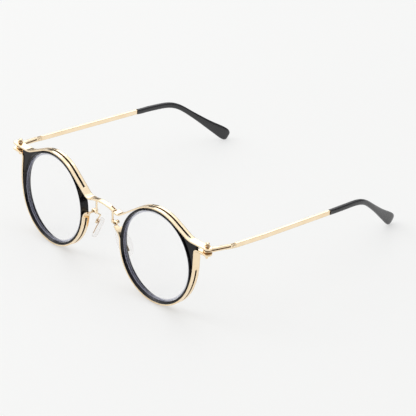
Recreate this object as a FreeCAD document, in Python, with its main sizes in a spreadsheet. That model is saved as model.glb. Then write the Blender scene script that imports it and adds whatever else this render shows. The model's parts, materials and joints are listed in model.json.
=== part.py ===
import FreeCAD, Part
import math
import os
from FreeCAD import Vector, Rotation, Placement

# Round eyeglasses: a gold strip front that wraps two black acetate rings, a strip bridge,
# screwed nose pads, and two folding temples with black acetate tips.
# Row frame: +X to the wearer's left, +Y from the front towards the ears, +Z up.
# The glasses stand open on a table: both rims and both temple tips touch Z = 0.
# "left" pieces are modelled on the +X side; "right" pieces are their mirror images.

doc = FreeCAD.newDocument("round_eyeglasses")

# ---------------------------------------------------------------- driving dimensions
CELLS = [
    # front layout
    ("row_shift", 65.416), ("lens_pitch", 72.36), ("centre_height", 23.64), ("wrap_angle", 2.6), ("lean_angle", 4.4),
    # black acetate ring
    ("rim_outer", 22.6), ("rim_inner", 21.6), ("rim_front", 0.35), ("rim_back", 4.05), ("rim_bevel", 0.4), ("rim_wall_back", 2.25),
    ("lug_front", 0.45), ("lug_deep", 1.85),
    ("groove_mid", 1.4), ("groove_half", 0.55), ("groove_deep", 0.5),
    # lens
    ("lens_play", 0.03), ("lens_front_rad", 160.0), ("lens_back_rad", 165.0),
    # gold strip
    ("strip_inner", 22.65), ("strip_thick", 0.75), ("strip_deep", 4.0), ("slot_high", 1.1), ("slot_mid", 2.05),
    ("upper_leave_out", 64.0), ("upper_leave_nose", 125.0), ("plate_under", 15.5), ("plate_sweep", 12.0),
    ("plate_reach", 32.5), ("elbow_low", 10.45), ("elbow_sweep", 4.5), ("elbow_rise", 10.0), ("elbow_end", 28.2),
    ("upper_slot_out", 19.6), ("upper_slot_nose", 21.0),
    ("lower_leave_out", 24.0), ("lower_stand", 23.65), ("lower_plate_top", 13.35), ("lower_curl", 1.7),
    ("lower_curl_nose", 5.5), ("lower_nose_lift", 1.2), ("lower_nose_turn", 62.0), ("lower_tab", 2.4),
    ("lower_slot_out", 2.3), ("lower_slot_nose", 0.9),
    # bridge
    ("bridge_half", 8.0), ("bridge_low", 10.95), ("bridge_rise", 1.3), ("bridge_thick", 0.95), ("bridge_deep", 2.3),
    ("bridge_slot_at", 6.3), ("bridge_slot_long", 2.3), ("bridge_slot_wide", 0.6), ("bridge_back", 1.27),
    # hinge
    ("pin_out", 29.6), ("pin_back", 2.7), ("pin_rad", 0.75), ("pin_play", 0.02), ("run_play", 0.05),
    ("knob_rad", 1.0), ("knob_top", 18.15), ("nut_rad", 1.28), ("nut_low", 10.0),
    # temple
    ("knuckle_rad", 1.75), ("knuckle_high", 2.05), ("knuckle_mid", 14.425), ("fork_long", 14.6), ("fork_high", 1.95),
    ("fork_wide", 1.25), ("fork_slot", 0.6), ("fork_slot_long", 11.6), ("temple_drop", 2.0), ("temple_splay", 0.1),
    ("temple_offset", 1.7), ("temple_bow", 0.8), ("temple_sag", 0.5),
    ("bar_wide", 1.25), ("bar_high", 2.15), ("rivet_rad", 0.5),
    ("sleeve_start", 74.8), ("sleeve_wide", 2.15), ("sleeve_high", 2.75),
    # nose pads
    ("post_wide", 0.8), ("post_deep", 0.5), ("pad_long", 14.6), ("pad_wide", 7.2), ("pad_thick", 2.6),
    ("wire_rad", 0.33), ("yoke_wide", 1.5), ("yoke_gap", 0.62), ("pad_pin_rad", 0.2), ("pad_pin_play", 0.04),
    ("plate_long", 9.6), ("plate_wide", 1.8), ("pad_plate_thick", 0.4),
]
sheet = doc.addObject("Spreadsheet::Sheet", "Sheet")
VALUE = {}
for row, (alias, number) in enumerate(CELLS, start=1):
    sheet.set("A%d" % row, alias)
    sheet.set("B%d" % row, repr(number))
    sheet.setAlias("B%d" % row, alias)
    VALUE[alias] = number
doc.recompute()


class Dim:
    """A size that carries its number and the sheet expression it comes from."""

    def __init__(self, number, text):
        self.v = float(number)
        self.t = text

    def __add__(self, other):
        o = dim(other)
        return Dim(self.v + o.v, "(%s + %s)" % (self.t, o.t))

    __radd__ = __add__

    def __sub__(self, other):
        o = dim(other)
        return Dim(self.v - o.v, "(%s - %s)" % (self.t, o.t))

    def __rsub__(self, other):
        o = dim(other)
        return Dim(o.v - self.v, "(%s - %s)" % (o.t, self.t))

    def __mul__(self, other):
        o = dim(other)
        return Dim(self.v * o.v, "(%s * %s)" % (self.t, o.t))

    __rmul__ = __mul__

    def __truediv__(self, other):
        o = dim(other)
        return Dim(self.v / o.v, "(%s / %s)" % (self.t, o.t))

    def __neg__(self):
        return Dim(-self.v, "(-1 * %s)" % self.t)


def dim(value):
    return value if isinstance(value, Dim) else Dim(value, "%.9g" % value)


def cell(alias):
    return Dim(VALUE[alias], "Sheet." + alias)


def root_of(value):
    return Dim(math.sqrt(value.v), "sqrt(%s)" % value.t)


def body_plane(body, role):
    for feature in body.Origin.OriginFeatures:
        if feature.Role == role:
            return feature
    raise RuntimeError("no plane " + role)


def new_body(name):
    body = doc.addObject("PartDesign::Body", name)
    body.Label = name
    return body


def profile(body, name, role, points, arcs=None):
    """Closed sketch through points (pairs of Dim); arcs maps an edge index to (radius, centre) for a curved edge."""
    arcs = arcs or {}
    sketch = body.newObject("Sketcher::SketchObject", name)
    sketch.AttachmentSupport = [(body_plane(body, role), "")]
    sketch.MapMode = "FlatFace"
    pts = [(dim(a), dim(b)) for a, b in points]
    count = len(pts)
    geometry = []
    for i in range(count):
        a, b = pts[i], pts[(i + 1) % count]
        va, vb = Vector(a[0].v, a[1].v, 0), Vector(b[0].v, b[1].v, 0)
        if i in arcs:
            radius, centre = arcs[i]
            middle = (va + vb) * 0.5 - centre
            middle.normalize()
            geometry.append(Part.Arc(va, centre + middle * dim(radius).v, vb))
        else:
            geometry.append(Part.LineSegment(va, vb))
    import Sketcher
    first = []
    for i, g in enumerate(geometry):
        sketch.addGeometry(g, False)
    for i in range(count):
        g = sketch.Geometry[i]
        start = sketch.getPoint(i, 1)
        want = Vector(pts[i][0].v, pts[i][1].v, 0)
        first.append(1 if (start - want).Length < 1e-6 else 2)
    for i in range(count):
        j = (i + 1) % count
        sketch.addConstraint(Sketcher.Constraint("Coincident", i, 3 - first[i], j, first[j]))
    for i in range(count):
        for axis, value in (("DistanceX", pts[i][0]), ("DistanceY", pts[i][1])):
            if abs(value.v) < 1e-9:
                line = -2 if axis == "DistanceX" else -1
                sketch.addConstraint(Sketcher.Constraint("PointOnObject", i, first[i], line))
            else:
                index = sketch.addConstraint(Sketcher.Constraint(axis, -1, 1, i, first[i], value.v))
                if "Sheet" in value.t:
                    sketch.setExpression("Constraints[%d]" % index, value.t)
    for i, (radius, centre) in arcs.items():
        radius = dim(radius)
        index = sketch.addConstraint(Sketcher.Constraint("Radius", i, radius.v))
        if "Sheet" in radius.t:
            sketch.setExpression("Constraints[%d]" % index, radius.t)
    return sketch


def lathe(body, name, points, arcs=None, around="V_Axis", role="XY_Plane"):
    sketch = profile(body, name + "_profile", role, points, arcs)
    turned = body.newObject("PartDesign::Revolution", name)
    turned.Profile = sketch
    turned.ReferenceAxis = (sketch, [around])
    turned.Angle = 360
    return turned


def bind(obj, **props):
    for key, value in props.items():
        value = dim(value)
        if "Sheet" in value.t:
            obj.setExpression(key, value.t)
        else:
            setattr(obj, key, value.v)


def box(name, x0, x1, y0, y1, z0, z1):
    """Part::Box between two corners given as Dims."""
    b = doc.addObject("Part::Box", name)
    x0, x1, y0, y1, z0, z1 = [dim(q) for q in (x0, x1, y0, y1, z0, z1)]
    bind(b, Length=x1 - x0, Width=y1 - y0, Height=z1 - z0)
    for key, value in (("x", x0), ("y", y0), ("z", z0)):
        if "Sheet" in value.t:
            b.setExpression("Placement.Base." + key, value.t)
        else:
            base = b.Placement.Base
            setattr(base, key, value.v)
            b.Placement = Placement(base, b.Placement.Rotation)
    return b


def rod(name, radius, height, base, direction=Vector(0, 0, 1)):
    c = doc.addObject("Part::Cylinder", name)
    bind(c, Radius=radius, Height=height)
    c.Placement = Placement(base, Rotation(Vector(0, 0, 1), direction))
    return c


def cut(name, base, tool):
    c = doc.addObject("Part::Cut", name)
    c.Base = base
    c.Tool = tool
    return c


def fuse(name, shapes):
    f = doc.addObject("Part::MultiFuse", name)
    f.Shapes = shapes
    return f


def mirrored(left):
    """The right-hand piece: the left one mirrored in the X = 0 plane."""
    m = doc.addObject("Part::Mirroring", left.Label.replace("left_", "right_"))
    m.Label = left.Label.replace("left_", "right_")
    m.Source = left
    m.Base = Vector(0, 0, 0)
    m.Normal = Vector(1, 0, 0)
    return m


V = VALUE
SHIFT = Vector(0, -V["row_shift"], 0)
RING_TURN = Rotation(Vector(0, 0, 1), V["wrap_angle"]) * Rotation(Vector(1, 0, 0), -V["lean_angle"])
RING = Placement(Vector(V["lens_pitch"] / 2, 0, V["centre_height"]) + SHIFT, RING_TURN)
CENTRE = Placement(Vector(0, -V["bridge_back"], V["centre_height"]) + SHIFT,
                   Rotation(Vector(1, 0, 0), -V["lean_angle"]))
FRONT = Placement(SHIFT, Rotation())
PIN_AT = RING.multVec(Vector(V["pin_out"], V["pin_back"], V["knuckle_mid"]))
TEMPLE = Placement(PIN_AT, RING_TURN * Rotation(Vector(0, 0, 1), -(V["wrap_angle"] + V["temple_splay"])))

NODES = []

# ---------------------------------------------------------------- black acetate ring
r_o, r_i, bev = cell("rim_outer"), cell("rim_inner"), cell("rim_bevel")
y_f, y_b = -cell("rim_front"), cell("rim_back")
g_m, g_h, g_d = cell("groove_mid"), cell("groove_half"), cell("groove_deep")
wall_b = cell("rim_wall_back")
rim_ring = new_body("rim_ring")
lathe(rim_ring, "rim_turned", [
    (r_i, y_f + bev * 0.9), (r_i + bev * 0.95, y_f + bev * 0.06), (r_i + bev * 1.15, y_f),
    (r_o - bev * 1.15, y_f), (r_o - bev * 0.95, y_f + bev * 0.06), (r_o, y_f + bev * 0.7),
    (r_o, y_b - bev * 0.5), (r_o - bev * 0.5, y_b), (r_i + bev * 0.5, wall_b + 0.45), (r_i, wall_b),
    (r_i, g_m + g_h), (r_i + g_d, g_m), (r_i, g_m - g_h)])
# a lug fills the wedge between the two strips beside the hinge
lug_outline = doc.addObject("Part::Polygon", "rim_lug_outline")
lug_outline.Nodes = [Vector(x, V["lug_front"], z) for x, z in (
    (21.99, 4.01), (21.37, 6.53), (20.5, 8.91), (19.36, 11.17), (17.99, 13.26), (16.61, 14.95), (15.24, 16.35),
    (13.67, 17.68), (13.6, 18.45), (15.0, 17.78), (17.4, 16.62), (19.0, 15.95), (20.5, 15.55),
    (22.67, 15.42), (24.6, 15.42), (24.6, 13.236), (24.46, 13.2), (23.8, 12.55), (23.56, 11.65), (23.56, 6.0), (23.4, 4.9))]
lug_outline.Close = True
lug = doc.addObject("Part::Extrusion", "rim_lug")
lug.Base = lug_outline
lug.DirMode = "Custom"
lug.Dir = Vector(0, 1, 0)
lug.Solid = True
lug.setExpression("LengthFwd", "Sheet.lug_deep")
rim = fuse("left_inner_rim", [rim_ring, lug])
rim.Label = "left_inner_rim"
rim.Placement = RING
NODES.append(rim)

# ---------------------------------------------------------------- lens with a V bevel in the ring's groove
play = cell("lens_play")
f_rad, b_rad = cell("lens_front_rad"), cell("lens_back_rad")
edge_r = r_i - play
f_edge, b_edge = g_m - g_h + play, g_m + g_h - play
f_mid = f_edge - (f_rad - root_of(f_rad * f_rad - edge_r * edge_r))
b_mid = b_edge - (b_rad - root_of(b_rad * b_rad - edge_r * edge_r))
lens = new_body("left_lens")
lathe(lens, "lens_turned", [
    (0, f_mid), (edge_r, f_edge), (edge_r + g_d - play, g_m), (edge_r, b_edge), (0, b_mid)],
    arcs={0: (f_rad, Vector(0, f_mid.v + f_rad.v, 0)), 3: (b_rad, Vector(0, b_mid.v + b_rad.v, 0))})
lens.Placement = RING
NODES.append(lens)


# ---------------------------------------------------------------- bent gold strips
def walk(start, heading, moves, thick, side):
    """Outline of a bent strip in the X-Z plane: its near face starts at start and runs through the moves
    ("line", length) or ("arc", radius, turn); its far face is thick away on side (+1 left, -1 right)."""
    near, far = [], []
    p, a = Vector(start), math.radians(heading)

    def off(q, angle):
        return q + Vector(-math.sin(angle), 0, math.cos(angle)) * thick * side

    def joined(edges, a0, mid, a1):
        edges.append((a0, mid, a1))

    for move in moves:
        if move[0] == "line":
            q = p + Vector(math.cos(a), 0, math.sin(a)) * move[1]
            joined(near, p, None, q)
            joined(far, off(p, a), None, off(q, a))
            p = q
        else:
            radius, turn = move[1], math.radians(move[2])
            hand = 1.0 if turn > 0 else -1.0
            centre = p + Vector(-math.sin(a), 0, math.cos(a)) * radius * hand

            def at(angle):
                return centre - Vector(-math.sin(angle), 0, math.cos(angle)) * radius * hand

            m, e = a + turn / 2, a + turn
            joined(near, p, at(m), at(e))
            joined(far, off(p, a), off(at(m), m), off(at(e), e))
            p, a = at(e), e

    def edge(piece):
        if piece[1] is None:
            return Part.LineSegment(piece[0], piece[2]).toShape()
        return Part.Arc(piece[0], piece[1], piece[2]).toShape()

    edges = [edge(k) for k in near]
    edges.append(Part.LineSegment(near[-1][2], far[-1][2]).toShape())
    edges += [edge((k[2], k[1], k[0])) for k in reversed(far)]
    edges.append(Part.LineSegment(far[0][0], near[0][0]).toShape())
    return Part.Wire(edges), p


def slab(name, wire, depth):
    """Part::Feature holding the strip: the outline extruded over the strip's depth."""
    face = Part.Face(wire)
    feature = doc.addObject("Part::Feature", name)
    feature.Shape = face.extrude(Vector(0, depth, 0))
    return feature


rs, tk = V["strip_inner"], V["strip_thick"]
# upper strip: from the outer hinge plate, over the ring, to the nose elbow
lo = math.radians(V["upper_leave_out"])
turn_out = 90.0 - V["upper_leave_out"]
ring_x, ring_z = rs * math.cos(lo), rs * math.sin(lo)
straight = ((ring_z - V["plate_under"]) - V["plate_sweep"] * (1 - math.cos(math.radians(turn_out)))) / math.sin(math.radians(turn_out))
arc_end_x = ring_x + straight * math.cos(math.radians(turn_out)) + V["plate_sweep"] * math.sin(math.radians(turn_out))
ln = math.radians(V["upper_leave_nose"])
turn_nose = V["upper_leave_nose"] - 90.0
nose_x, nose_z = rs * math.cos(ln), rs * math.sin(ln)
drop = (nose_z - V["elbow_low"]) - V["elbow_sweep"] * (1 - math.cos(math.radians(turn_nose)))
nose_straight = drop / math.sin(math.radians(turn_nose))
low_x = nose_x - nose_straight * math.cos(math.radians(turn_nose)) - V["elbow_sweep"] * math.sin(math.radians(turn_nose))
rise_x = low_x - V["elbow_sweep"] * math.sin(math.radians(V["elbow_rise"]))
tail = (V["elbow_end"] + rise_x) / math.cos(math.radians(V["elbow_rise"]))
upper_wire, upper_tip = walk(
    Vector(V["plate_reach"], 0, V["plate_under"]), 180.0,
    [("line", V["plate_reach"] - arc_end_x), ("arc", V["plate_sweep"], -turn_out), ("line", straight),
     ("arc", rs, V["upper_leave_nose"] - V["upper_leave_out"]), ("line", nose_straight),
     ("arc", V["elbow_sweep"], -(turn_nose + V["elbow_rise"])), ("line", tail)], tk, -1)
upper = slab("upper_strip", upper_wire, V["strip_deep"])
s_lo, s_hi = cell("slot_mid") - cell("slot_high") / 2, cell("slot_mid") + cell("slot_high") / 2
upper_slot = box("upper_slot", -cell("upper_slot_nose"), cell("upper_slot_out"), s_lo, s_hi, 10, 30)

# the plate's corners round off about the hinge pin
def plate_round(name, z0, z1):
    """Tool that rounds the plate's free corners: a block less a cylinder about the pin."""
    reach = cell("plate_reach")
    pr = reach - cell("pin_out")
    outer = box(name + "_block", cell("pin_out"), reach + 2, -2, cell("strip_deep") + 2, z0, z1)
    keep_a = doc.addObject("Part::Cylinder", name + "_keep_front")
    bind(keep_a, Radius=1.6, Height=dim(z1) - dim(z0) + 2)
    keep_a.Placement = Placement(Vector(V["plate_reach"] - 1.6, 1.6, dim(z0).v - 1), Rotation())
    keep_b = doc.addObject("Part::Cylinder", name + "_keep_back")
    bind(keep_b, Radius=1.6, Height=dim(z1) - dim(z0) + 2)
    keep_b.Placement = Placement(Vector(V["plate_reach"] - 1.6, V["strip_deep"] - 1.6, dim(z0).v - 1), Rotation())
    keep_c = box(name + "_keep_body", cell("pin_out") - 1, reach - 1.6, -1, cell("strip_deep") + 1, dim(z0) - 1, dim(z1) + 1)
    keep_d = box(name + "_keep_mid", cell("pin_out") - 1, reach, 1.6, cell("strip_deep") - 1.6, dim(z0) - 1, dim(z1) + 1)
    return cut(name, outer, fuse(name + "_keep", [keep_a, keep_b, keep_c, keep_d]))


pin_hole = rod("plate_pin_hole", cell("pin_rad") + cell("pin_play"), 30, Vector(V["pin_out"], V["pin_back"], 0))
upper_cut = cut("left_upper_strip", upper,
                fuse("upper_tools", [upper_slot, pin_hole, plate_round("upper_round", 14, 18)]))
upper_cut.Label = "left_upper_strip"
upper_cut.Placement = RING
NODES.append(upper_cut)

# lower strip: hinge plate, curl, down the outer side, round the bottom, up to the nose tab
lw = math.radians(V["lower_leave_out"])
big = (V["lower_stand"] - rs * math.cos(lw)) / (1 - math.cos(lw))
join_z = -rs * math.sin(lw) + big * math.sin(lw)
curl = V["lower_curl"]
nl = math.asin(V["lower_nose_lift"] / rs)
lower_wire, lower_tip = walk(
    Vector(V["plate_reach"], 0, V["lower_plate_top"]), 180.0,
    [("line", V["plate_reach"] - (V["lower_stand"] + curl)), ("arc", curl, 90.0),
     ("line", (V["lower_plate_top"] - curl) - join_z), ("arc", big, -math.degrees(lw)),
     ("arc", rs, -(180.0 - math.degrees(lw) - math.degrees(nl))),
     ("arc", V["lower_curl_nose"], V["lower_nose_turn"]), ("line", V["lower_tab"])], tk, 1)
lower = slab("lower_strip", lower_wire, V["strip_deep"])
lower_slot = fuse("lower_slot", [
    box("lower_slot_out_half", 0, 40, s_lo, s_hi, -40, cell("lower_slot_out")),
    box("lower_slot_nose_half", -40, 1, s_lo, s_hi, -40, -cell("lower_slot_nose"))])
lower_hole = rod("lower_pin_hole", cell("pin_rad") + cell("pin_play"), 30, Vector(V["pin_out"], V["pin_back"], 0))
# the nose tab is narrower than the strip
tab_trim = fuse("tab_trim", [box("tab_trim_front", -40, -26.2, -1, 0.45, 3, 12),
                             box("tab_trim_back", -40, -26.2, 2.65, 6, 3, 12)])
# the tab ends flush against the foot of the pad post
foot_room = doc.addObject("Part::Box", "foot_room")
bind(foot_room, Length=8.5, Width=12, Height=9)
foot_room.Placement = RING.inverse().multiply(FRONT).multiply(Placement(Vector(0, -5, 24.5), Rotation()))
lower_cut = cut("left_lower_strip", lower,
                fuse("lower_tools", [lower_slot, lower_hole, plate_round("lower_round", 11, 15), tab_trim, foot_room]))
lower_cut.Label = "left_lower_strip"
lower_cut.Placement = RING
NODES.append(lower_cut)

# ---------------------------------------------------------------- bridge: an arched strip between the elbows
bh, br = cell("bridge_half") - 0.06, cell("bridge_rise")
bl, bt = cell("bridge_low"), cell("bridge_thick")
arch = (bh * bh + br * br) / (br * 2)
bridge = new_body("bridge")
arch_sketch = profile(bridge, "bridge_side", "XZ_Plane",
                      [(-bh, bl), (bh, bl), (bh, bl + bt), (-bh, bl + bt)],
                      arcs={0: (arch, Vector(0, bl.v + br.v - arch.v, 0)),
                            2: (arch, Vector(0, bl.v + bt.v + br.v - arch.v, 0))})
bar = bridge.newObject("PartDesign::Pad", "bridge_pad")
bar.Profile = arch_sketch
bind(bar, Length=cell("bridge_deep"))
bar.Reversed = True
doc.recompute()
slot_sketch_points = []
for number, side in enumerate((-1, 1)):
    mid = cell("bridge_slot_at") * side
    hl, hw = cell("bridge_slot_long") / 2, cell("bridge_slot_wide") / 2
    yc = cell("bridge_deep") / 2 + 0.6
    slot_profile = profile(bridge, "bridge_slot_profile_%d" % number, "XY_Plane",
                           [(mid - hl, yc - hw), (mid + hl, yc - hw), (mid + hl, yc + hw), (mid - hl, yc + hw)])
    slot_cut = bridge.newObject("PartDesign::Pocket", "bridge_slot_%d" % number)
    slot_cut.Profile = slot_profile
    slot_cut.Type = 0
    slot_cut.Length = 20
    slot_cut.Reversed = True
    doc.recompute()
bridge.Placement = CENTRE
NODES.append(bridge)

# ---------------------------------------------------------------- hinge pin with its top knob, and the lower finial nut
p_r, k_r, k_t = cell("pin_rad"), cell("knob_rad"), cell("knob_top")
plate_top = cell("plate_under") + cell("strip_thick")
plate_low = cell("lower_plate_top") - cell("strip_thick")
nut_z = cell("nut_low")
pin = new_body("left_hinge_pin")
lathe(pin, "pin_turned", [
    (0, plate_low - 1.1), (p_r - 0.15, plate_low - 1.1), (p_r, plate_low - 0.95), (p_r, plate_top),
    (k_r * 1.25, plate_top), (k_r * 1.3, plate_top + 0.18), (k_r * 1.1, plate_top + 0.34), (k_r * 0.62, plate_top + 0.42),
    (k_r * 0.62, plate_top + 0.58), (k_r * 0.86, k_t - 1.2), (k_r, k_t - 0.88), (k_r * 0.97, k_t - 0.55), (k_r * 0.82, k_t - 0.26),
    (k_r * 0.5, k_t - 0.07), (0, k_t)], role="XZ_Plane")
pin.Placement = RING.multiply(Placement(Vector(V["pin_out"], V["pin_back"], 0), Rotation()))
NODES.append(pin)
n_r = cell("nut_rad")
nut = new_body("left_hinge_nut")
bore = p_r + cell("pin_play")
lathe(nut, "nut_turned", [
    (0, nut_z), (n_r * 0.24, nut_z + 0.05), (n_r * 0.4, nut_z + 0.26), (n_r * 0.4, nut_z + 0.5), (n_r * 0.55, nut_z + 0.95),
    (n_r * 0.82, plate_low - 0.85), (n_r * 0.97, plate_low - 0.5), (n_r, plate_low - 0.25), (n_r * 0.9, plate_low),
    (bore, plate_low), (bore, plate_low - 1.13), (0, plate_low - 1.13)], role="XZ_Plane")
nut.Placement = pin.Placement
NODES.append(nut)

# ---------------------------------------------------------------- temple fork: knuckle on the pin, slotted end
k_rad, k_high = cell("knuckle_rad"), cell("knuckle_high")
off_x = V["temple_offset"]
knuckle = doc.addObject("Part::Cylinder", "knuckle")
bind(knuckle, Radius=k_rad, Height=k_high)
knuckle.setExpression("Placement.Base.z", (k_high / -2).t)
f_w, f_h, f_l = cell("fork_wide"), cell("fork_high"), cell("fork_long")
slope = math.tan(math.radians(V["temple_drop"]))


def tapered(name, stations):
    """Part::Loft through rectangular sections; each station is (y, x centre, z centre, width, height)."""
    sections = []
    for number, (y, x, z, w, hgt) in enumerate(stations):
        wire = doc.addObject("Part::Plane", "%s_section_%d" % (name, number))
        w, hgt = dim(w), dim(hgt)
        bind(wire, Length=w, Width=hgt)
        # the plane's own X becomes the temple's X and its own Y becomes Z
        wire.Placement = Placement(Vector(x - w.v / 2, y, z - hgt.v / 2), Rotation(Vector(1, 0, 0), 90))
        sections.append(wire)
    loft = doc.addObject("Part::Loft", name)
    loft.Sections = sections
    loft.Solid = True
    loft.Ruled = True
    return loft


# the temple bows outward and sags a little behind the hinge, and comes back to its line at the sleeve
def line_at(y):
    """Centre of the temple at y, in the temple frame, as (across, up)."""
    full = min(1.0, y / 9.0) if y < 32.0 else (V["sleeve_start"] - y) / (V["sleeve_start"] - 32.0)
    near = {0.0: -1.1, 2.4: -0.9, 5.4: -0.6, 11.6: -0.1}.get(y, 0.0)
    low = max(0.0, min(1.0, (y - 5.4) / 8.0)) if y < 32.0 else full
    return off_x + near + V["temple_bow"] * full, -y * slope - V["temple_sag"] * low


# the neck leaves the knuckle on its outer side and thins to the strip's section
NECK = [(0.0, f_w + 0.5, k_high - 0.1), (2.4, f_w + 0.4, k_high - 0.16), (5.4, f_w + 0.1, k_high - 0.25), (11.6, f_w, f_h),
        (V["fork_long"], f_w, f_h)]
neck = tapered("fork_neck", [(y, line_at(y)[0], line_at(y)[1] if y else 0.0, w, hgt) for y, w, hgt in NECK])
# a web closes the groove between the tines
web = tapered("fork_web", [(y, line_at(y)[0], line_at(y)[1], 0.35, f_h - 0.3) for y in (2.4, 5.4, 11.6, V["fork_long"] - 0.4)])
slot_end = cell("fork_slot_long")
tine_slot = doc.addObject("Part::Box", "tine_slot")
bind(tine_slot, Length=8, Width=slot_end + 4, Height=cell("fork_slot"))
tine_slot.Placement = Placement(Vector(-4, -4, 0.05), Rotation(Vector(1, 0, 0), -3.6))
knuckle_bore = rod("knuckle_bore", cell("pin_rad") + cell("run_play"), 12, Vector(0, 0, -6))
# a seat at the fork's rear end takes the bar's tongue
tongue_seat = doc.addObject("Part::Box", "tongue_seat")
bind(tongue_seat, Length=0.52, Width=3.4, Height=6)
rivet_y = V["fork_long"] - 1.2
end_x, end_z = line_at(rivet_y)
tongue_seat.Placement = Placement(Vector(end_x - 0.26, V["fork_long"] - 2.4, -4), Rotation())
rivet_hole = rod("fork_rivet_hole", cell("rivet_rad") + cell("pin_play"), 8,
                 Vector(end_x - 4, rivet_y, end_z), Vector(1, 0, 0))
rivet_sink = doc.addObject("Part::Cylinder", "rivet_sink")
bind(rivet_sink, Radius=cell("rivet_rad") * 1.5 + 0.03, Height=3)
rivet_sink.Placement = Placement(Vector(end_x + V["fork_wide"] / 2 + 0.02, rivet_y, end_z), Rotation(Vector(0, 1, 0), 90))
rivet_seat = doc.addObject("Part::Cylinder", "rivet_seat")
bind(rivet_seat, Radius=cell("rivet_rad") * 1.5 + 0.03, Height=3)
rivet_seat.Placement = Placement(Vector(end_x - V["fork_wide"] / 2 - 0.02, rivet_y, end_z), Rotation(Vector(0, 1, 0), -90))
fork = cut("left_temple_fork", fuse("fork_webbed", [cut("fork_slotted", fuse("fork_solid", [knuckle, neck]), tine_slot), web]),
           fuse("fork_tools", [knuckle_bore, tongue_seat, rivet_hole, rivet_sink, rivet_seat]))
fork.Label = "left_temple_fork"
fork.Placement = TEMPLE
NODES.append(fork)

# ---------------------------------------------------------------- temple bar: flat strip, tongue in front, bent core wire in the tip
# centre line of the temple behind the fork, in the temple frame: (back, outward, up)
b_w, b_h = cell("bar_wide"), cell("bar_high")
s_at = V["sleeve_start"]
def flat_run(name, y0, y1, beyond=0.0):
    """A straight flat of the temple bar between two points of its centre line, as a turned Part::Box."""
    (xa, za), (xb, zb) = line_at(y0), line_at(y1)
    if y1 >= s_at:
        xb, zb = off_x - 0.15, -s_at * slope
    run = Vector(xb - xa, y1 - y0, zb - za)
    flat = doc.addObject("Part::Box", name)
    bind(flat, Length=b_w, Width=run.Length + beyond, Height=b_h)
    along = Vector(run)
    along.normalize()
    side = Vector(0, 0, 1).cross(along).negative()
    side.normalize()
    upward = side.cross(along)
    corner = Vector(xa, y0, za) - side * (b_w.v / 2) - upward * (b_h.v / 2)
    flat.Placement = Placement(FreeCAD.Matrix(side.x, along.x, upward.x, corner.x, side.y, along.y, upward.y, corner.y,
                                              side.z, along.z, upward.z, corner.z, 0, 0, 0, 1))
    return flat


bar_solid = fuse("bar_solid", [flat_run("bar_front_flat", V["fork_long"] + 0.08, 32.0, 0.03), flat_run("bar_rear_flat", 32.0, s_at)])
tongue = doc.addObject("Part::Box", "tongue")
bind(tongue, Length=0.48, Width=2.5, Height=1.7)
tongue.Placement = Placement(Vector(end_x - 0.24, V["fork_long"] - 2.35, end_z - 0.85), Rotation())
tongue_hole = rod("tongue_hole", cell("rivet_rad") + cell("pin_play"), 4,
                  Vector(end_x - 2, rivet_y, end_z), Vector(1, 0, 0))
core = tapered("bar_core", [(s_at, off_x - 0.15, -s_at * slope, 0.9, 1.4), (84.0, off_x - 0.6, -84.0 * slope, 0.9, 1.4),
                            (90.0, off_x - 1.02, -90.0 * slope - 0.08, 0.9, 1.2)])
temple_bar = cut("left_temple_bar", fuse("bar_all", [bar_solid, core, tongue]), tongue_hole)
temple_bar.Label = "left_temple_bar"
temple_bar.Placement = TEMPLE
NODES.append(temple_bar)

# ---------------------------------------------------------------- rivet through fork and tongue
rv = cell("rivet_rad")
rivet = new_body("left_temple_rivet")
half = cell("fork_wide") / 2
lathe(rivet, "rivet_turned", [
    (0, -half - 0.12), (rv * 1.25, -half - 0.12), (rv * 1.5, -half - 0.02), (rv, -half - 0.02), (rv, half + 0.02),
    (rv * 1.5, half + 0.02), (rv * 1.35, half + 0.12), (rv * 0.8, half + 0.22), (0, half + 0.24)])
rivet.Placement = TEMPLE.multiply(Placement(Vector(end_x, rivet_y, end_z), Rotation(Vector(0, 0, 1), -90)))
NODES.append(rivet)


# ---------------------------------------------------------------- acetate temple tip: sleeve, ear bend and flat paddle
def oval(centre, forward, wide, high, square=0.35, count=20):
    """Closed rounded section at centre, across forward: wide along the sideways axis, high along the upward one."""
    forward = Vector(forward)
    forward.normalize()
    side = Vector(1, 0, 0)
    side = side - forward * side.dot(forward)
    side.normalize()
    upward = side.cross(forward)
    upward.normalize()
    points = []
    power = 2.0 / (2.0 + square * 2.0)
    for k in range(count):
        a = 2 * math.pi * (k + 0.5) / count
        c, s = math.cos(a), math.sin(a)
        points.append(centre + side * (wide / 2 * math.copysign(abs(c) ** power, c))
                      + upward * (high / 2 * math.copysign(abs(s) ** power, s)))
    curve = Part.BSplineCurve()
    curve.interpolate(points, PeriodicFlag=True)
    return Part.Wire([curve.toShape()])


sw, sh = V["sleeve_wide"], V["sleeve_high"]
# (back, outward, up, wide, high)
TIP = [
    (s_at + 0.05, off_x - 0.15, -2.62, sw * 0.95, sh * 0.95),
    (80.0, off_x - 0.4, -2.8, sw, sh),
    (86.5, off_x - 0.75, -3.03, sw, sh),
    (92.6, off_x - 1.25, -3.4, sw, sh),
    (97.2, off_x - 1.8, -4.35, sw, sh * 0.98),
    (101.6, off_x - 2.6, -6.35, sw * 0.97, sh * 0.96),
    (107.0, off_x - 3.8, -10.1, sw * 0.93, sh * 1.0),
    (113.0, off_x - 5.4, -14.6, sw * 0.9, sh * 1.22),
    (118.8, off_x - 7.1, -19.0, sw * 0.88, sh * 1.6),
    (123.4, off_x - 8.4, -22.3, sw * 0.88, sh * 2.0),
    (126.3, off_x - 9.2, -24.45, sw * 0.85, sh * 2.18),
    (128.1, off_x - 9.7, -25.8, sw * 0.72, sh * 1.95),
    (129.0, off_x - 9.95, -26.5, sw * 0.42, sh * 1.35),
]


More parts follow.
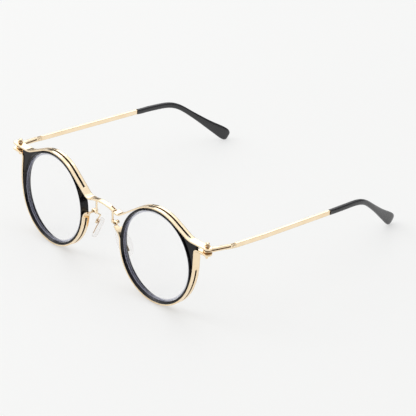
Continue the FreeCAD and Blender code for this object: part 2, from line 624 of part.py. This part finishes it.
def tip_shape():
    centres = [Vector(x, y, z) for y, x, z, w, g in TIP]
    wires = []
    for i, (y, x, z, w, g) in enumerate(TIP):
        a = centres[max(i - 1, 0)]
        b = centres[min(i + 1, len(TIP) - 1)]
        wires.append(oval(centres[i], b - a, w, g))
    return Part.makeLoft(wires, True, False)


tip_outer = doc.addObject("Part::Feature", "tip_outer")
tip_outer.Shape = tip_shape()
# bore for the bar's core, a little larger all round
tip_bore = tapered("tip_bore", [(s_at - 1.5, off_x - 0.11, -(s_at - 1.5) * slope, 0.96, 1.46),
                                (84.0, off_x - 0.6, -84.0 * slope, 0.96, 1.46),
                                (90.1, off_x - 1.03, -90.1 * slope - 0.08, 0.96, 1.28)])
tip = cut("left_temple_tip", tip_outer, tip_bore)
tip.Label = "left_temple_tip"
tip.Placement = TEMPLE
NODES.append(tip)

# ---------------------------------------------------------------- nose pad: post, screw and nut, arm with its yoke, pin, plate, cushion
screw_x, screw_z = 7.6, 28.5
# the post hangs from the bridge's slot
post_y = CENTRE.multVec(Vector(V["bridge_slot_at"], V["bridge_deep"] / 2 + 0.6, V["bridge_low"] + 0.4)).y - SHIFT.y
post_top = CENTRE.multVec(Vector(V["bridge_slot_at"], V["bridge_deep"] / 2, V["bridge_low"] + 0.45)).z - SHIFT.z
post = fuse("pad_post_solid", [
    box("post_stem", 5.25, cell("post_wide") + 5.25, cell("post_deep") / -2 + post_y, cell("post_deep") / 2 + post_y, 27.8, post_top),
    box("post_foot", 5.25, 8.5, post_y - 0.5, post_y + 0.5, 27.8, 29.2)])
post_bored = cut("left_pad_post", post, rod("post_bore", 0.47, 8, Vector(screw_x, -3, screw_z), Vector(0, 1, 0)))
post_bored.Label = "left_pad_post"
post_bored.Placement = FRONT
NODES.append(post_bored)

screw = new_body("left_pad_screw")
lathe(screw, "screw_turned", [
    (0, -1.07), (0.45, -1.07), (0.72, -0.83), (0.72, -0.5), (0.45, -0.5), (0.45, 2.04), (0.3, 2.19), (0, 2.19)])
slot_profile = profile(screw, "screw_slot_profile", "XZ_Plane", [(-0.9, -0.11), (0.9, -0.11), (0.9, 0.11), (-0.9, 0.11)])
screw_slot = screw.newObject("PartDesign::Pocket", "screw_slot")
screw_slot.Profile = slot_profile
screw_slot.Type = 0
screw_slot.Midplane = True
screw_slot.Length = 1.7
screw.Placement = FRONT.multiply(Placement(Vector(screw_x, post_y, screw_z), Rotation()))
NODES.append(screw)

screw_nut = new_body("left_pad_nut")
lathe(screw_nut, "pad_nut_turned", [
    (0.47, 1.24), (0.82, 1.24), (0.9, 1.32), (0.9, 1.66), (0.75, 1.84), (0.47, 1.84)])
screw_nut.Placement = screw.Placement
NODES.append(screw_nut)

# pad frame: U down the pad, W across it, N out of the face that rests on the nose
ARM_BEND = Vector(5.43, 3.57, 26.26)
U = Vector(7.3, 0.83, -12.2)
U.normalize()
N = Vector(-0.87, 0.5, 0)
N = N - U * N.dot(U)
N.normalize()
W = N.cross(U)
W.normalize()
PAD_MID = ARM_BEND + U * 9.3 + N * 1.8
PAD_TURN = Placement(FreeCAD.Matrix(U.x, W.x, N.x, PAD_MID.x, U.y, W.y, N.y, PAD_MID.y, U.z, W.z, N.z, PAD_MID.z, 0, 0, 0, 1))
PAD = FRONT.multiply(PAD_TURN)
# the pin the pad rocks on
ROCK_U, ROCK_N = -3.6, -1.95


def pad_vec(u, w, n):
    return PAD_MID + U * u + W * w + N * n


def pad_blank():
    """Cushioned teardrop: a loft of ovals stacked through the pad's thickness."""
    long_, wide_, thick_ = V["pad_long"], V["pad_wide"], V["pad_thick"]
    wires = []
    for n, size in ((-0.5, 0.80), (-0.36, 0.93), (-0.1, 1.0), (0.16, 0.97), (0.36, 0.86), (0.47, 0.66), (0.5, 0.42)):
        points = []
        count = 24
        for k in range(count):
            a = 2 * math.pi * k / count
            u = math.cos(a) * long_ / 2
            w = math.sin(a) * wide_ / 2 * (1.0 + 0.16 * math.cos(a))
            length = math.hypot(u, w)
            grow = (length - long_ / 2 * (1 - size) * 0.55) / length
            points.append(Vector(u * grow, w * grow, n * thick_))
        curve = Part.BSplineCurve()
        curve.interpolate(points, PeriodicFlag=True)
        wires.append(Part.Wire([curve.toShape()]))
    return Part.makeLoft(wires, True, False)


def wire_arm(points, radius, bend):
    """Round wire along straight runs joined by tangent arcs."""
    edges = []
    last = points[0]
    for i in range(1, len(points) - 1):
        a, b, c = points[i - 1], points[i], points[i + 1]
        ua, uc = (a - b), (c - b)
        la, lc = ua.Length, uc.Length
        ua.normalize()
        uc.normalize()
        angle = math.acos(max(-1.0, min(1.0, ua.dot(uc))))
        t = min(bend / math.tan(angle / 2), 0.45 * min(la, lc))
        p, q = b + ua * t, b + uc * t
        r = t * math.tan(angle / 2)
        middle = ua + uc
        middle.normalize()
        centre = b + middle * (r / math.sin(angle / 2))
        m = centre - middle * r
        edges.append(Part.LineSegment(last, p).toShape())
        edges.append(Part.Arc(p, m, q).toShape())
        last = q
    edges.append(Part.LineSegment(last, points[-1]).toShape())
    path = Part.Wire(edges)
    circle = Part.Wire([Part.Circle(points[0], points[1] - points[0], radius).toShape()])
    return path.makePipeShell([circle], True, True)


arm_wire = doc.addObject("Part::Feature", "pad_arm_wire")
arm_wire.Shape = wire_arm([Vector(screw_x - 0.4, post_y + 0.87, screw_z - 0.4), Vector(6.4, post_y + 0.97, screw_z - 1.3), ARM_BEND,
                           pad_vec(-4.4, 0, -2.3)], V["wire_rad"], 0.6)
arm_eye = rod("pad_arm_eye", 0.88, 0.68, Vector(screw_x, post_y + 0.53, screw_z), Vector(0, 1, 0))
yoke = box("pad_yoke", -4.7, ROCK_U + 0.6, -V["yoke_wide"] / 2, cell("yoke_wide") - V["yoke_wide"] / 2, -2.62, -1.58)
yoke.Placement = PAD_TURN.multiply(yoke.Placement)
yoke_slot = box("pad_yoke_slot", ROCK_U - 0.48, ROCK_U + 2, -V["yoke_gap"] / 2, cell("yoke_gap") - V["yoke_gap"] / 2, -2.43, -1.0)
yoke_slot.Placement = PAD_TURN.multiply(yoke_slot.Placement)
yoke_bore = rod("pad_yoke_bore", cell("pad_pin_rad"), 6, pad_vec(ROCK_U, -3, ROCK_N), W)
arm = cut("left_pad_arm", fuse("pad_arm_solid", [arm_wire, arm_eye, yoke]),
          fuse("pad_arm_tools", [rod("arm_screw_hole", 0.47, 6, Vector(screw_x, -2.5, screw_z), Vector(0, 1, 0)), yoke_slot, yoke_bore]))
arm.Label = "left_pad_arm"
arm.Placement = FRONT
NODES.append(arm)

pad_pin = rod("left_pad_pin", cell("pad_pin_rad"), cell("yoke_wide"), pad_vec(ROCK_U, -V["yoke_wide"] / 2, ROCK_N), W)
pad_pin.Placement = FRONT.multiply(pad_pin.Placement)
NODES.append(pad_pin)

# plate along the cushion's back, with an eye on the pin
half_long, half_wide, t_plate = cell("plate_long") / 2, cell("plate_wide") / 2, cell("pad_plate_thick")
plate_body = box("pad_plate_flat", half_long / -1, half_long, half_wide / -1, half_wide, -1.3, t_plate - 1.3)
plate_neck = box("pad_plate_neck", ROCK_U - 0.32, ROCK_U + 0.32, -0.25, 0.25, ROCK_N, -1.2)
plate_eye = rod("pad_plate_eye", 0.42, 0.5, Vector(ROCK_U, -0.25, ROCK_N), Vector(0, 1, 0))
plate_bore = rod("pad_plate_bore", cell("pad_pin_rad") + cell("pad_pin_play"), 3, Vector(ROCK_U, -1.5, ROCK_N), Vector(0, 1, 0))
pad_plate = cut("left_pad_plate", fuse("pad_plate_solid", [plate_body, plate_neck, plate_eye]), plate_bore)
pad_plate.Label = "left_pad_plate"
pad_plate.Placement = PAD
NODES.append(pad_plate)

pad_solid = doc.addObject("Part::Feature", "pad_cushion")
pad_solid.Shape = pad_blank()
pad = cut("left_nose_pad", pad_solid,
          box("pad_plate_room", half_long / -1, half_long, half_wide / -1, half_wide, -1.5, t_plate - 1.3))
pad.Label = "left_nose_pad"
pad.Placement = PAD
NODES.append(pad)

# ---------------------------------------------------------------- mirror the left pieces
doc.recompute()
for left in list(NODES):
    if left.Label.startswith("left_"):
        NODES.append(mirrored(left))
doc.recompute()

# ---------------------------------------------------------------- check everything, then write the parts
problems = []
for obj in doc.Objects:
    state = [str(word) for word in obj.State]
    if any(word in ("Invalid", "Error") for word in state):
        problems.append("%s: %s" % (obj.Name, state))
for node in NODES:
    shape = node.Shape
    if shape.isNull() or not shape.isValid():
        problems.append(node.Label + ": shape is null or not valid")
    elif len(shape.Solids) < 1:
        problems.append(node.Label + ": holds no solid")
if problems:
    raise RuntimeError("; ".join(problems))
os.makedirs("parts", exist_ok=True)
total = FreeCAD.BoundBox()
for node in NODES:
    shape = node.Shape
    total.add(shape.BoundBox)
    shape.exportStep("parts/%s.step" % node.Label)
    print("%-20s solids %d volume %8.2f  x %.2f..%.2f y %.2f..%.2f z %.2f..%.2f" % (
        node.Label, len(shape.Solids), shape.Volume, shape.BoundBox.XMin, shape.BoundBox.XMax,
        shape.BoundBox.YMin, shape.BoundBox.YMax, shape.BoundBox.ZMin, shape.BoundBox.ZMax))
print("hinge pin at", PIN_AT, "axis", RING_TURN.multVec(Vector(0, 0, 1)))
print("pad pivot at", PAD.multVec(Vector(ROCK_U, 0, ROCK_N)), "axis", W)
print("box", total)
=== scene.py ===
import json
import math

import bmesh
import bpy
from mathutils import Matrix, Vector


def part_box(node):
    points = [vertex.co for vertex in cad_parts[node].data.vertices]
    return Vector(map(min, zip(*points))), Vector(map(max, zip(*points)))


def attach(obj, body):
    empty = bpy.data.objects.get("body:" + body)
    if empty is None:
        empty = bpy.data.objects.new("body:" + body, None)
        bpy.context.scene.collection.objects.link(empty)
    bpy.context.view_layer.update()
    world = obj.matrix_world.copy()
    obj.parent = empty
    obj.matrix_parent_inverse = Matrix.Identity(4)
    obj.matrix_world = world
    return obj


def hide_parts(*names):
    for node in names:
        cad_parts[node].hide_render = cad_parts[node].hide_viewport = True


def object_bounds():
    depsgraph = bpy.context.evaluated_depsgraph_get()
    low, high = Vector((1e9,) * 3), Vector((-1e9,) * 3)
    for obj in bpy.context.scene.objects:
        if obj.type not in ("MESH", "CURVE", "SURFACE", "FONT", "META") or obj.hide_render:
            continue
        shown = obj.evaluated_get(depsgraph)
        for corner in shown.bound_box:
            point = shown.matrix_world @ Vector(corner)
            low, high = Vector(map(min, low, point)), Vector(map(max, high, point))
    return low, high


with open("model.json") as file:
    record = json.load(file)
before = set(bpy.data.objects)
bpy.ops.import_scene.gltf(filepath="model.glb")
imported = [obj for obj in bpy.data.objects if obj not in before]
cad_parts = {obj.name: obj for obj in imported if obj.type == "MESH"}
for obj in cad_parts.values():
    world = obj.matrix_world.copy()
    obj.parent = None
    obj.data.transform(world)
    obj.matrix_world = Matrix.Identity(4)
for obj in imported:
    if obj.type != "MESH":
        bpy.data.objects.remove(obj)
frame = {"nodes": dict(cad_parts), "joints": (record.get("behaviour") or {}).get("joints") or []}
CAD_BOX = [list(map(float, corner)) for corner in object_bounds()]
NODES = frame["nodes"]
SIDES = (("left", 1.0), ("right", -1.0))


# ---------------------------------------------------------------- materials
class Mat:
    """A node material: self.p is its Principled shader."""

    def __init__(self, name):
        self.m = bpy.data.materials.new(name)
        self.m.use_nodes = True
        self.t = self.m.node_tree
        self.p = self.t.nodes["Principled BSDF"]
        self.out = self.t.nodes["Material Output"]
        self.obj = None

    def node(self, kind, **settings):
        n = self.t.nodes.new("ShaderNode" + kind)
        for key, value in settings.items():
            if key in n.inputs:
                n.inputs[key].default_value = value
            else:
                setattr(n, key, value)
        return n

    def link(self, a, b):
        self.t.links.new(a, b)

    def set(self, **values):
        for key, value in values.items():
            self.p.inputs[key.replace("_", " ")].default_value = value

    def coords(self, scale=(1, 1, 1)):
        if self.obj is None:
            self.obj = self.node("TexCoord").outputs["Object"]
        mapping = self.node("Mapping")
        mapping.inputs["Scale"].default_value = scale
        self.link(self.obj, mapping.inputs["Vector"])
        return mapping.outputs["Vector"]

    def noise(self, scale, detail=3.0, rough=0.55, stretch=(1, 1, 1)):
        n = self.node("TexNoise", Scale=scale, Detail=detail, Roughness=rough)
        self.link(self.coords(stretch), n.inputs["Vector"])
        return n.outputs["Fac"]

    def remap(self, value, low, high, out_low, out_high):
        n = self.node("MapRange")
        n.inputs["From Min"].default_value = low
        n.inputs["From Max"].default_value = high
        n.inputs["To Min"].default_value = out_low
        n.inputs["To Max"].default_value = out_high
        self.link(value, n.inputs["Value"])
        return n.outputs["Result"]

    def ramp(self, value, stops):
        n = self.node("ValToRGB")
        e = n.color_ramp.elements
        while len(e) < len(stops):
            e.new(0.5)
        for k, (at, colour) in enumerate(stops):
            e[k].position = at
            e[k].color = (*colour, 1.0) if len(colour) == 3 else colour
        self.link(value, n.inputs["Fac"])
        return n.outputs["Color"]

    def bump(self, height, strength, distance):
        n = self.node("Bump", Strength=strength, Distance=distance)
        self.link(height, n.inputs["Height"])
        self.link(n.outputs["Normal"], self.p.inputs["Normal"])
        return n


def gold(name, base, light, dark, rough=(0.10, 0.20)):
    """Polished plated metal: faint colour drift, fine buffing lines, softly rounded edges, tiny scuffs, and painted
    shade darkening corners and slots.
    """
    m = Mat(name)
    m.set(Metallic=1.0)
    drift = m.noise(160, 4, 0.6)
    plate = m.ramp(drift, [(0.30, dark), (0.52, base), (0.75, light)])
    # painted shade: corners and slots are darkened to a browner tone by ambient occlusion, where shade falls
    painted_crevice_shade = m.node("AmbientOcclusion", samples=8)
    painted_crevice_shade.inputs["Distance"].default_value = 0.0009
    tone = m.ramp(painted_crevice_shade.outputs["AO"], [(0.30, (0.16, 0.085, 0.035)), (0.62, (0.62, 0.45, 0.28)), (0.92, (1.0, 1.0, 1.0))])
    mix = m.node("Mix", data_type="RGBA", blend_type="MULTIPLY")
    mix.inputs["Factor"].default_value = 1.0
    m.link(plate, mix.inputs[6])
    m.link(tone, mix.inputs[7])
    m.link(mix.outputs[2], m.p.inputs["Base Color"])
    buff = m.noise(900, 2, 0.5, (1.0, 0.12, 1.0))
    m.link(m.remap(buff, 0.3, 0.72, *rough), m.p.inputs["Roughness"])
    scuff = m.noise(1400, 3, 0.55)
    bumped = m.bump(scuff, 0.06, 0.00002)
    rounded = m.node("Bevel", samples=6)
    rounded.inputs["Radius"].default_value = 0.00042
    m.link(rounded.outputs["Normal"], bumped.inputs["Normal"])
    return m.m


def acetate(name):
    """Hand-polished black cellulose acetate: near black with a slightly cool cast, soft waviness, hair-fine scuffs."""
    m = Mat(name)
    cloud = m.noise(70, 5, 0.6)
    m.link(m.ramp(cloud, [(0.25, (0.0030, 0.0030, 0.0042)), (0.55, (0.0055, 0.0052, 0.0070)), (0.8, (0.0100, 0.0092, 0.0120))]),
           m.p.inputs["Base Color"])
    m.set(IOR=1.48)
    m.p.inputs["Specular IOR Level"].default_value = 0.27
    smear = m.noise(240, 4, 0.6)
    m.link(m.remap(smear, 0.3, 0.75, 0.07, 0.17), m.p.inputs["Roughness"])
    fine = m.noise(1500, 3, 0.6)
    m.bump(fine, 0.05, 0.00003)
    return m.m


def tip_acetate(name):
    """The temple tips: the same acetate, tumbled to a softer sheen."""
    m = Mat(name)
    cloud = m.noise(70, 5, 0.6)
    m.link(m.ramp(cloud, [(0.25, (0.014, 0.014, 0.017)), (0.55, (0.023, 0.023, 0.026)), (0.8, (0.035, 0.034, 0.038))]),
           m.p.inputs["Base Color"])
    m.set(IOR=1.5)
    m.p.inputs["Specular IOR Level"].default_value = 0.5
    smear = m.noise(200, 4, 0.6)
    m.link(m.remap(smear, 0.3, 0.75, 0.22, 0.34), m.p.inputs["Roughness"])
    fine = m.noise(1300, 3, 0.6)
    m.bump(fine, 0.08, 0.00003)
    m.p.inputs["Coat Weight"].default_value = 0.2
    m.p.inputs["Coat Roughness"].default_value = 0.15
    return m.m


def lens_glass(name, centre):
    """Thin coated lens: almost fully see-through, a faint coating sheen, and a painted lavender-grey highlight ring
    standing for the polished bevel at its edge.
    """
    m = Mat(name)
    m.set(IOR=1.5)
    m.link(m.remap(m.noise(150, 3, 0.5), 0.3, 0.7, 0.015, 0.05), m.p.inputs["Roughness"])
    drift = m.noise(60, 3, 0.5)
    m.link(m.ramp(drift, [(0.3, (0.60, 0.61, 0.77)), (0.7, (0.68, 0.69, 0.86))]), m.p.inputs["Base Color"])
    m.p.inputs["Specular IOR Level"].default_value = 0.3
    # distance from the lens axis, in the lens plane
    pos = m.node("TexCoord").outputs["Object"]
    away = m.node("VectorMath", operation="SUBTRACT")
    away.inputs[1].default_value = centre
    m.link(pos, away.inputs[0])
    length = m.node("VectorMath", operation="LENGTH")
    m.link(away.outputs["Vector"], length.inputs[0])
    # painted highlight: opaque light and dark rings near the rim stand in for light caught by the edge bevel
    highlight_band = m.remap(length.outputs["Value"], 0.0202, 0.0216, 0.0, 1.0)
    painted_edge_highlight = m.ramp(highlight_band, [(0.0, (0.0, 0.0, 0.0)), (0.28, (0.05, 0.05, 0.05)), (0.42, (0.60, 0.60, 0.60)), (0.54, (0.10, 0.10, 0.10)),
                         (0.68, (0.75, 0.75, 0.75)), (0.80, (0.16, 0.16, 0.16)), (1.0, (0.22, 0.22, 0.22))])
    facing = m.node("LayerWeight", Blend=0.18).outputs["Facing"]
    sheen = m.remap(facing, 0.0, 1.0, 0.004, 0.05)
    smudge = m.remap(m.noise(90, 4, 0.6), 0.45, 0.8, 0.0, 0.006)
    a = m.node("Math", operation="ADD")
    m.link(painted_edge_highlight, a.inputs[0])
    m.link(sheen, a.inputs[1])
    b = m.node("Math", operation="ADD", use_clamp=True)
    m.link(a.outputs[0], b.inputs[0])
    m.link(smudge, b.inputs[1])
    m.link(b.outputs[0], m.p.inputs["Alpha"])
    return m.m


def silicone(name):
    """Clear moulded silicone: milky at its thick edges, faint warm cast, soft satin skin."""
    m = Mat(name)
    tone = m.noise(160, 3, 0.5)
    m.link(m.ramp(tone, [(0.3, (0.88, 0.80, 0.75)), (0.7, (0.93, 0.87, 0.83))]), m.p.inputs["Base Color"])
    m.set(IOR=1.41)
    m.p.inputs["Specular IOR Level"].default_value = 0.35
    m.link(m.remap(m.noise(400, 3, 0.6), 0.3, 0.7, 0.14, 0.24), m.p.inputs["Roughness"])
    m.bump(m.noise(900, 2, 0.5), 0.04, 0.00003)
    facing = m.node("LayerWeight", Blend=0.40).outputs["Facing"]
    alpha = m.remap(facing, 0.20, 0.98, 0.06, 0.38)
    cloud = m.remap(m.noise(90, 2, 0.5), 0.3, 0.7, 0.92, 1.08)
    both = m.node("Math", operation="MULTIPLY", use_clamp=True)
    m.link(alpha, both.inputs[0])
    m.link(cloud, both.inputs[1])
    m.link(both.outputs[0], m.p.inputs["Alpha"])
    return m.m


GOLD = gold("pale_gold", (1.0, 0.82, 0.575), (1.0, 0.85, 0.63), (0.96, 0.77, 0.52), (0.09, 0.16))
SCREW = gold("screw_metal", (0.62, 0.46, 0.27), (0.74, 0.58, 0.36), (0.40, 0.28, 0.15), (0.18, 0.34))
ACETATE = acetate("black_acetate")
TIP = tip_acetate("black_tip_acetate")
SILICONE = silicone("clear_silicone")


def dress(name, material):
    o = NODES[name]
    if not o.material_slots:
        o.data.materials.append(material)
    for s in o.material_slots:
        s.material = material


for side, k in SIDES:
    for piece in ("upper_strip", "lower_strip", "hinge_pin", "hinge_nut", "temple_fork", "temple_bar", "temple_rivet",
                  "pad_post", "pad_arm", "pad_plate"):
        dress(side + "_" + piece, GOLD)
    for piece in ("pad_screw", "pad_nut", "pad_pin"):
        dress(side + "_" + piece, SCREW)
    dress(side + "_inner_rim", ACETATE)
    dress(side + "_temple_tip", TIP)
    low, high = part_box(side + "_lens")
    centre = [(a + b) / 2 for a, b in zip(low, high)]
    dress(side + "_lens", lens_glass("coated_lens_" + side, centre))
dress("bridge", GOLD)

# ---------------------------------------------------------------- nose pads: moulded silicone teardrops
for side, k in SIDES:
    node = side + "_nose_pad"
    low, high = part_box(node)
    source = NODES[node].data
    # the pad's own axes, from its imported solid
    pts = [v.co.copy() for v in source.vertices]
    joint = next(j for j in frame["joints"] if j["name"] == side + "_pad_rock")
    across = Vector(joint["axis"]).normalized()
    mid = sum(pts, Vector()) / len(pts)
    down = Vector((0.5127 * k, 0.0583, -0.8567))
    down = (down - across * down.dot(across)).normalized()
    out = across.cross(down).normalized()
    if out.x * k > 0:
        out.negate()
    us = [(p - mid).dot(down) for p in pts]
    ws = [(p - mid).dot(across) for p in pts]
    ns = [(p - mid).dot(out) for p in pts]
    mid += down * (max(us) + min(us)) / 2 + across * (max(ws) + min(ws)) / 2 + out * (max(ns) + min(ns)) / 2
    long_, wide, thick = max(us) - min(us), max(ws) - min(ws), max(ns) - min(ns)
    bm = bmesh.new()
    rings = []
    count = 32
    layers = [(-0.49, 0.70), (-0.46, 0.86), (-0.36, 0.955), (-0.16, 0.99), (0.06, 0.985), (0.24, 0.93), (0.37, 0.82), (0.45, 0.62), (0.485, 0.34)]
    for n, size in layers:
        ring = []
        for c in range(count):
            a = 2 * math.pi * c / count
            u = math.cos(a) * long_ / 2
            w = math.sin(a) * wide / 2 * (0.93 + 0.15 * math.cos(a))
            w = max(-wide / 2, min(wide / 2, w))
            inset = long_ / 2 * (1 - size) * 0.52
            r = math.hypot(u, w)
            g = max(0.02, (r - inset) / r)
            # the face that rests on the nose is slightly hollow along its length
            dip = -0.02 * thick * (1 - abs(u) / (long_ / 2)) if n > 0.3 else 0.0
            ring.append(bm.verts.new(mid + down * (u * g) + across * (w * g) + out * (n * thick + dip)))
        rings.append(ring)
    for r0, r1 in zip(rings, rings[1:]):
        for c in range(count):
            d = (c + 1) % count
            bm.faces.new((r0[c], r0[d], r1[d], r1[c]))
    for ring, n in ((rings[0], -0.5), (rings[-1], 0.49)):
        hub = bm.verts.new(mid + out * (n * thick))
        for c in range(count):
            d = (c + 1) % count
            bm.faces.new((ring[d], ring[c], hub) if n < 0 else (ring[c], ring[d], hub))
    bmesh.ops.recalc_face_normals(bm, faces=bm.faces)
    mesh = bpy.data.meshes.new(side + "_silicone_pad")
    bm.to_mesh(mesh)
    bm.free()
    for f in mesh.polygons:
        f.use_smooth = True
    pad = bpy.data.objects.new(side + "_silicone_pad", mesh)
    bpy.context.scene.collection.objects.link(pad)
    sub = pad.modifiers.new("round", "SUBSURF")
    sub.levels = 1
    sub.render_levels = 1
    pad.data.materials.append(SILICONE)
    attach(pad, side + "_pad")
    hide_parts(node)

# ---------------------------------------------------------------- floor, light, camera
floor_mat = Mat("studio_paper")
floor_mat.link(floor_mat.ramp(floor_mat.noise(3, 2, 0.4), [(0.3, (0.355, 0.357, 0.350)), (0.7, (0.365, 0.367, 0.360))]),
               floor_mat.p.inputs["Base Color"])
floor_mat.set(Roughness=0.85)
floor_mat.p.inputs["Emission Color"].default_value = (1.0, 1.0, 1.0, 1.0)
floor_mat.p.inputs["Emission Strength"].default_value = 0.53
floor_mat.p.inputs["Specular IOR Level"].default_value = 0.15
floor_mat.bump(floor_mat.noise(900, 3, 0.6), 0.05, 0.00005)
mesh = bpy.data.meshes.new("studio_floor")
bm = bmesh.new()
bmesh.ops.create_grid(bm, x_segments=8, y_segments=8, size=4.0)
bm.to_mesh(mesh)
bm.free()
floor = bpy.data.objects.new("studio_floor", mesh)
bpy.context.scene.collection.objects.link(floor)
floor.location.z = CAD_BOX[0][2] - 0.00002
floor.data.materials.append(floor_mat.m)

world = bpy.data.worlds.new("studio")
bpy.context.scene.world = world
world.use_nodes = True
wt = world.node_tree
background = wt.nodes["Background"]


def wnode(kind, **settings):
    n = wt.nodes.new("ShaderNode" + kind)
    for key, value in settings.items():
        setattr(n, key, value)
    return n


# a soft dome: bright overhead, dim near the horizon and on the side the viewer stands
direction = wnode("TexCoord").outputs["Generated"]
parts = wnode("SeparateXYZ")
wt.links.new(direction, parts.inputs[0])
dome = wnode("ValToRGB")
stops = [(0.0, 0.16), (0.22, 0.20), (0.40, 1.25), (0.62, 1.45), (1.0, 1.25)]
el = dome.color_ramp.elements
while len(el) < len(stops):
    el.new(0.5)
for k, (at, level) in enumerate(stops):
    el[k].position = at
    el[k].color = (level, level, level * 1.005, 1.0)
wt.links.new(parts.outputs["Z"], dome.inputs["Fac"])
side_on = wnode("VectorMath", operation="DOT_PRODUCT")
side_on.inputs[1].default_value = (0.737, -0.676, 0.0)
wt.links.new(direction, side_on.inputs[0])
dim = wnode("MapRange")
dim.inputs["From Min"].default_value = 0.15
dim.inputs["From Max"].default_value = 0.75
dim.inputs["To Min"].default_value = 1.0
dim.inputs["To Max"].default_value = 0.30
wt.links.new(side_on.outputs["Value"], dim.inputs["Value"])
outer = wnode("VectorMath", operation="DOT_PRODUCT")
outer.inputs[1].default_value = (0.62, 0.78, -0.35)
wt.links.new(direction, outer.inputs[0])
dim_outer = wnode("MapRange")
dim_outer.inputs["From Min"].default_value = 0.15
dim_outer.inputs["From Max"].default_value = 0.65
dim_outer.inputs["To Min"].default_value = 1.0
dim_outer.inputs["To Max"].default_value = 0.45
wt.links.new(outer.outputs["Value"], dim_outer.inputs["Value"])
both_dims = wnode("Math", operation="MULTIPLY")
wt.links.new(dim.outputs["Result"], both_dims.inputs[0])
wt.links.new(dim_outer.outputs["Result"], both_dims.inputs[1])
shade = wnode("VectorMath", operation="SCALE")
wt.links.new(dome.outputs["Color"], shade.inputs[0])
wt.links.new(both_dims.outputs["Value"], shade.inputs["Scale"])
wt.links.new(shade.outputs["Vector"], background.inputs["Color"])
background.inputs["Strength"].default_value = 0.86


def area(name, at, towards, size, power, colour=(1, 1, 1), size_y=None):
    light = bpy.data.lights.new(name, "AREA")
    light.energy = power
    light.color = colour
    light.size = size
    if size_y:
        light.shape = "RECTANGLE"
        light.size_y = size_y
    o = bpy.data.objects.new(name, light)
    bpy.context.scene.collection.objects.link(o)
    o.location = at
    o.rotation_euler = (Vector(towards) - Vector(at)).to_track_quat("-Z", "Y").to_euler()
    return o


area("top_box", (-0.15, 0.15, 1.25), (0, 0, 0), 1.1, 3.0)
area("side_box", (-0.82, -0.62, 0.76), (0, 0, 0), 0.5, 1.8)
area("back_box", (-0.86, 0.76, 0.64), (0, 0, 0), 0.6, 1.1)

data = bpy.data.cameras.new("photo_camera")
cam = bpy.data.objects.new("photo_camera", data)
bpy.context.scene.collection.objects.link(cam)
bpy.context.scene.camera = cam
data.sensor_width = 36.0
data.sensor_fit = "HORIZONTAL"
data.lens = 2760.679 / 416.0 * 36.0
data.clip_start = 0.05
data.clip_end = 20.0
azimuth, elevation, roll, distance = math.radians(47.45334), math.radians(29.44597), math.radians(0.32638), 1.202279
target = Vector((0.07150555, -0.065416, 0.0635349))
back = Vector((math.sin(azimuth) * math.cos(elevation), -math.cos(azimuth) * math.cos(elevation), math.sin(elevation)))
ahead = -back
right = ahead.cross(Vector((0, 0, 1))).normalized()
up = right.cross(ahead)
right2 = right * math.cos(roll) + up * math.sin(roll)
up2 = up * math.cos(roll) - right * math.sin(roll)
turn = Matrix((right2, up2, back)).transposed().to_4x4()
cam.matrix_world = Matrix.Translation(target + back * distance) @ turn

scene = bpy.context.scene
scene.view_settings.view_transform = "Standard"
